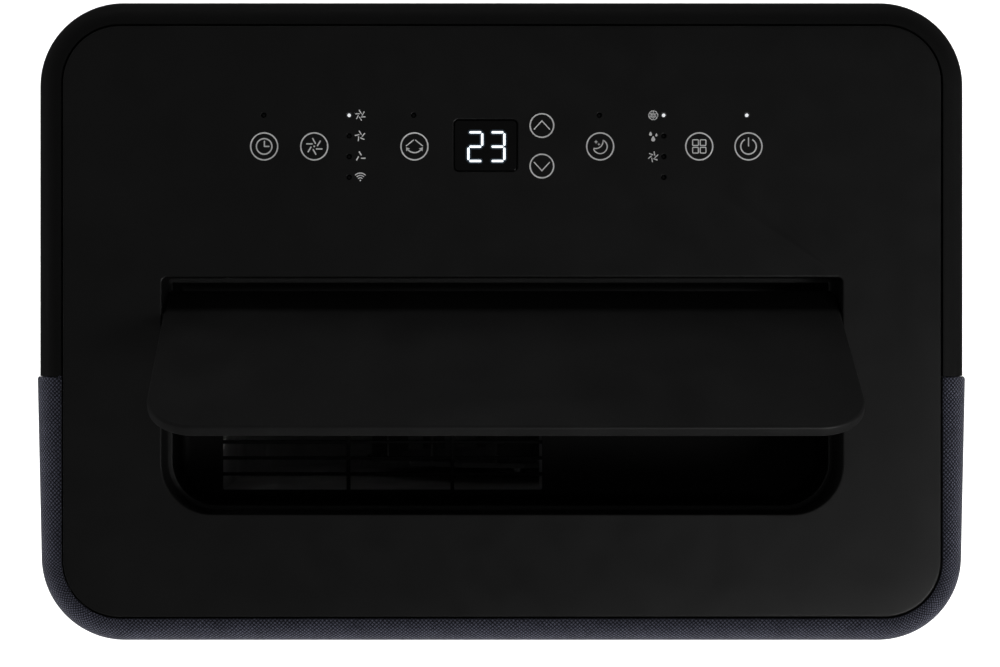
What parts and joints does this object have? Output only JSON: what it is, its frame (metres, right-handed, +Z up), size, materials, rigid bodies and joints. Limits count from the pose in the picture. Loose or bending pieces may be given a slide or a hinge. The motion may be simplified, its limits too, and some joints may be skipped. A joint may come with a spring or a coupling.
{
  "type": "portable air conditioner",
  "caption": "Floor-standing portable air conditioner on casters, with a cloth-wrapped front, a flat touch panel on top, a tilting outlet flap, and rear intake grilles and exhaust collar.",
  "frame": {"origin": "on the floor, under the middle of the casing's plan", "axes": "+Z up, +Y to the rear (intakes and exhaust collar), -Y to the cloth front, +X to the right of somebody facing the front"},
  "size_m": [0.4426, 0.304, 0.7741],
  "materials": {
    "black_plastic": "moulded, fine grain",
    "deep_black": "moulded, matt",
    "fabric": "woven cloth, charcoal",
    "smoked_lens": "smoked, polished",
    "white_plastic": "moulded",
    "grey_plastic": "moulded",
    "circuit_board": "solder-masked board",
    "steel": "bright steel",
    "zinc": "zinc plated sheet",
    "aluminium": "fin stock",
    "copper": "copper tube",
    "enamel": "black enamel",
    "rubber": "moulded rubber",
    "filter_mesh": "fine net in a frame"
  },
  "bodies": {
    "casing": {"base_pan": "black_plastic", "rear_shell": "black_plastic", "front_shell": "black_plastic", "front_fabric": "fabric", "left_grip": "deep_black", "right_grip": "deep_black", "top_panel": "black_plastic", "display_lens": "smoked_lens", "display_module": "deep_black", "control_board": "circuit_board", "outlet_tray": "deep_black", "outlet_grille": "deep_black", "flap_motor": "steel", "exhaust_collar": "black_plastic", "cord_gland": "rubber", "evaporator_coil": "aluminium", "upper_scroll": "grey_plastic", "upper_inlet_ring": "grey_plastic", "upper_fan_motor": "zinc", "mid_deck": "white_plastic", "electrical_box": "zinc", "capacitor": "aluminium", "condenser_coil": "aluminium", "lower_scroll": "grey_plastic", "lower_inlet_ring": "grey_plastic", "lower_fan_motor": "zinc", "exhaust_duct": "grey_plastic", "compressor": "enamel", "compressor_foot_1": "rubber", "compressor_foot_2": "rubber", "compressor_foot_3": "rubber", "accumulator": "enamel", "suction_pipe": "copper", "discharge_pipe": "copper", "liquid_line": "copper", "splash_motor": "zinc"},
    "flap": {"outlet_flap": "black_plastic"},
    "crank": {"flap_crank": "white_plastic"},
    "link": {"flap_link": "white_plastic"},
    "upper_fan": {"upper_blower_wheel": "grey_plastic"},
    "lower_fan": {"lower_blower_wheel": "grey_plastic"},
    "splasher": {"splash_wheel": "white_plastic"},
    "upper_grille": {"upper_intake_grille": "black_plastic"},
    "upper_air_filter": {"upper_filter": "filter_mesh"},
    "lower_grille": {"lower_intake_grille": "black_plastic"},
    "lower_air_filter": {"lower_filter": "filter_mesh"},
    "upper_plug": {"upper_drain_plug": "rubber"},
    "lower_plug": {"lower_drain_plug": "rubber"},
    "fork_front_left": {"caster_fork_front_left": "black_plastic", "caster_axle_front_left": "steel"},
    "wheel_front_left": {"caster_wheel_front_left": "rubber"},
    "fork_front_right": {"caster_fork_front_right": "black_plastic", "caster_axle_front_right": "steel"},
    "wheel_front_right": {"caster_wheel_front_right": "rubber"},
    "fork_rear_left": {"caster_fork_rear_left": "black_plastic", "caster_axle_rear_left": "steel"},
    "wheel_rear_left": {"caster_wheel_rear_left": "rubber"},
    "fork_rear_right": {"caster_fork_rear_right": "black_plastic", "caster_axle_rear_right": "steel"},
    "wheel_rear_right": {"caster_wheel_rear_right": "rubber"}
  },
  "joints": [
    {"name": "flap_tilt", "type": "hinge", "parent": "casing", "child": "flap", "pos_m": [0, 0.0021, 0.6965], "axis": [-1, 0, 0], "range_deg": [-56, 14]},
    {"name": "crank_turn", "type": "hinge", "parent": "casing", "child": "crank", "pos_m": [0, 0.0021, 0.6645], "axis": [-1, 0, 0], "range_deg": [-57, 15]},
    {"name": "link_turn", "type": "hinge", "parent": "crank", "child": "link", "pos_m": [0, -0.00148, 0.65516], "axis": [-1, 0, 0], "range_deg": [-15, 57]},
    {"name": "upper_fan_spin", "type": "hinge", "parent": "casing", "child": "upper_fan", "pos_m": [0.015, 0, 0.51], "axis": [0, 1, 0], "continuous": true},
    {"name": "lower_fan_spin", "type": "hinge", "parent": "casing", "child": "lower_fan", "pos_m": [0.075, 0, 0.15], "axis": [0, 1, 0], "continuous": true},
    {"name": "splasher_spin", "type": "hinge", "parent": "casing", "child": "splasher", "pos_m": [0.173, 0.06, 0.08], "axis": [1, 0, 0], "continuous": true},
    {"name": "upper_grille_pull", "type": "slide", "parent": "casing", "child": "upper_grille", "axis": [0, 1, 0], "range_m": [0, 0.08]},
    {"name": "upper_filter_unclip", "type": "slide", "parent": "upper_grille", "child": "upper_air_filter", "axis": [0, -1, 0], "range_m": [0, 0.012]},
    {"name": "lower_grille_pull", "type": "slide", "parent": "casing", "child": "lower_grille", "axis": [0, 1, 0], "range_m": [0, 0.08]},
    {"name": "lower_filter_unclip", "type": "slide", "parent": "lower_grille", "child": "lower_air_filter", "axis": [0, -1, 0], "range_m": [0, 0.012]},
    {"name": "upper_plug_pull", "type": "slide", "parent": "casing", "child": "upper_plug", "axis": [0, 1, 0], "range_m": [0, 0.03]},
    {"name": "lower_plug_pull", "type": "slide", "parent": "casing", "child": "lower_plug", "axis": [0, 1, 0], "range_m": [0, 0.03]},
    {"name": "swivel_front_left", "type": "hinge", "parent": "casing", "child": "fork_front_left", "pos_m": [-0.182, -0.11, 0.044], "axis": [0, 0, 1], "continuous": true},
    {"name": "roll_front_left", "type": "hinge", "parent": "fork_front_left", "child": "wheel_front_left", "pos_m": [-0.182, -0.098, 0.018], "axis": [1, 0, 0], "continuous": true},
    {"name": "swivel_front_right", "type": "hinge", "parent": "casing", "child": "fork_front_right", "pos_m": [0.182, -0.11, 0.044], "axis": [0, 0, 1], "continuous": true},
    {"name": "roll_front_right", "type": "hinge", "parent": "fork_front_right", "child": "wheel_front_right", "pos_m": [0.182, -0.098, 0.018], "axis": [1, 0, 0], "continuous": true},
    {"name": "swivel_rear_left", "type": "hinge", "parent": "casing", "child": "fork_rear_left", "pos_m": [-0.182, 0.11, 0.044], "axis": [0, 0, 1], "continuous": true},
    {"name": "roll_rear_left", "type": "hinge", "parent": "fork_rear_left", "child": "wheel_rear_left", "pos_m": [-0.182, 0.122, 0.018], "axis": [1, 0, 0], "continuous": true},
    {"name": "swivel_rear_right", "type": "hinge", "parent": "casing", "child": "fork_rear_right", "pos_m": [0.182, 0.11, 0.044], "axis": [0, 0, 1], "continuous": true},
    {"name": "roll_rear_right", "type": "hinge", "parent": "fork_rear_right", "child": "wheel_rear_right", "pos_m": [0.182, 0.122, 0.018], "axis": [1, 0, 0], "continuous": true}
  ],
  "couplings": [
    {"joint": "crank_turn", "follows": "flap_tilt", "ratio": 1},
    {"joint": "link_turn", "follows": "flap_tilt", "ratio": -1}
  ]
}
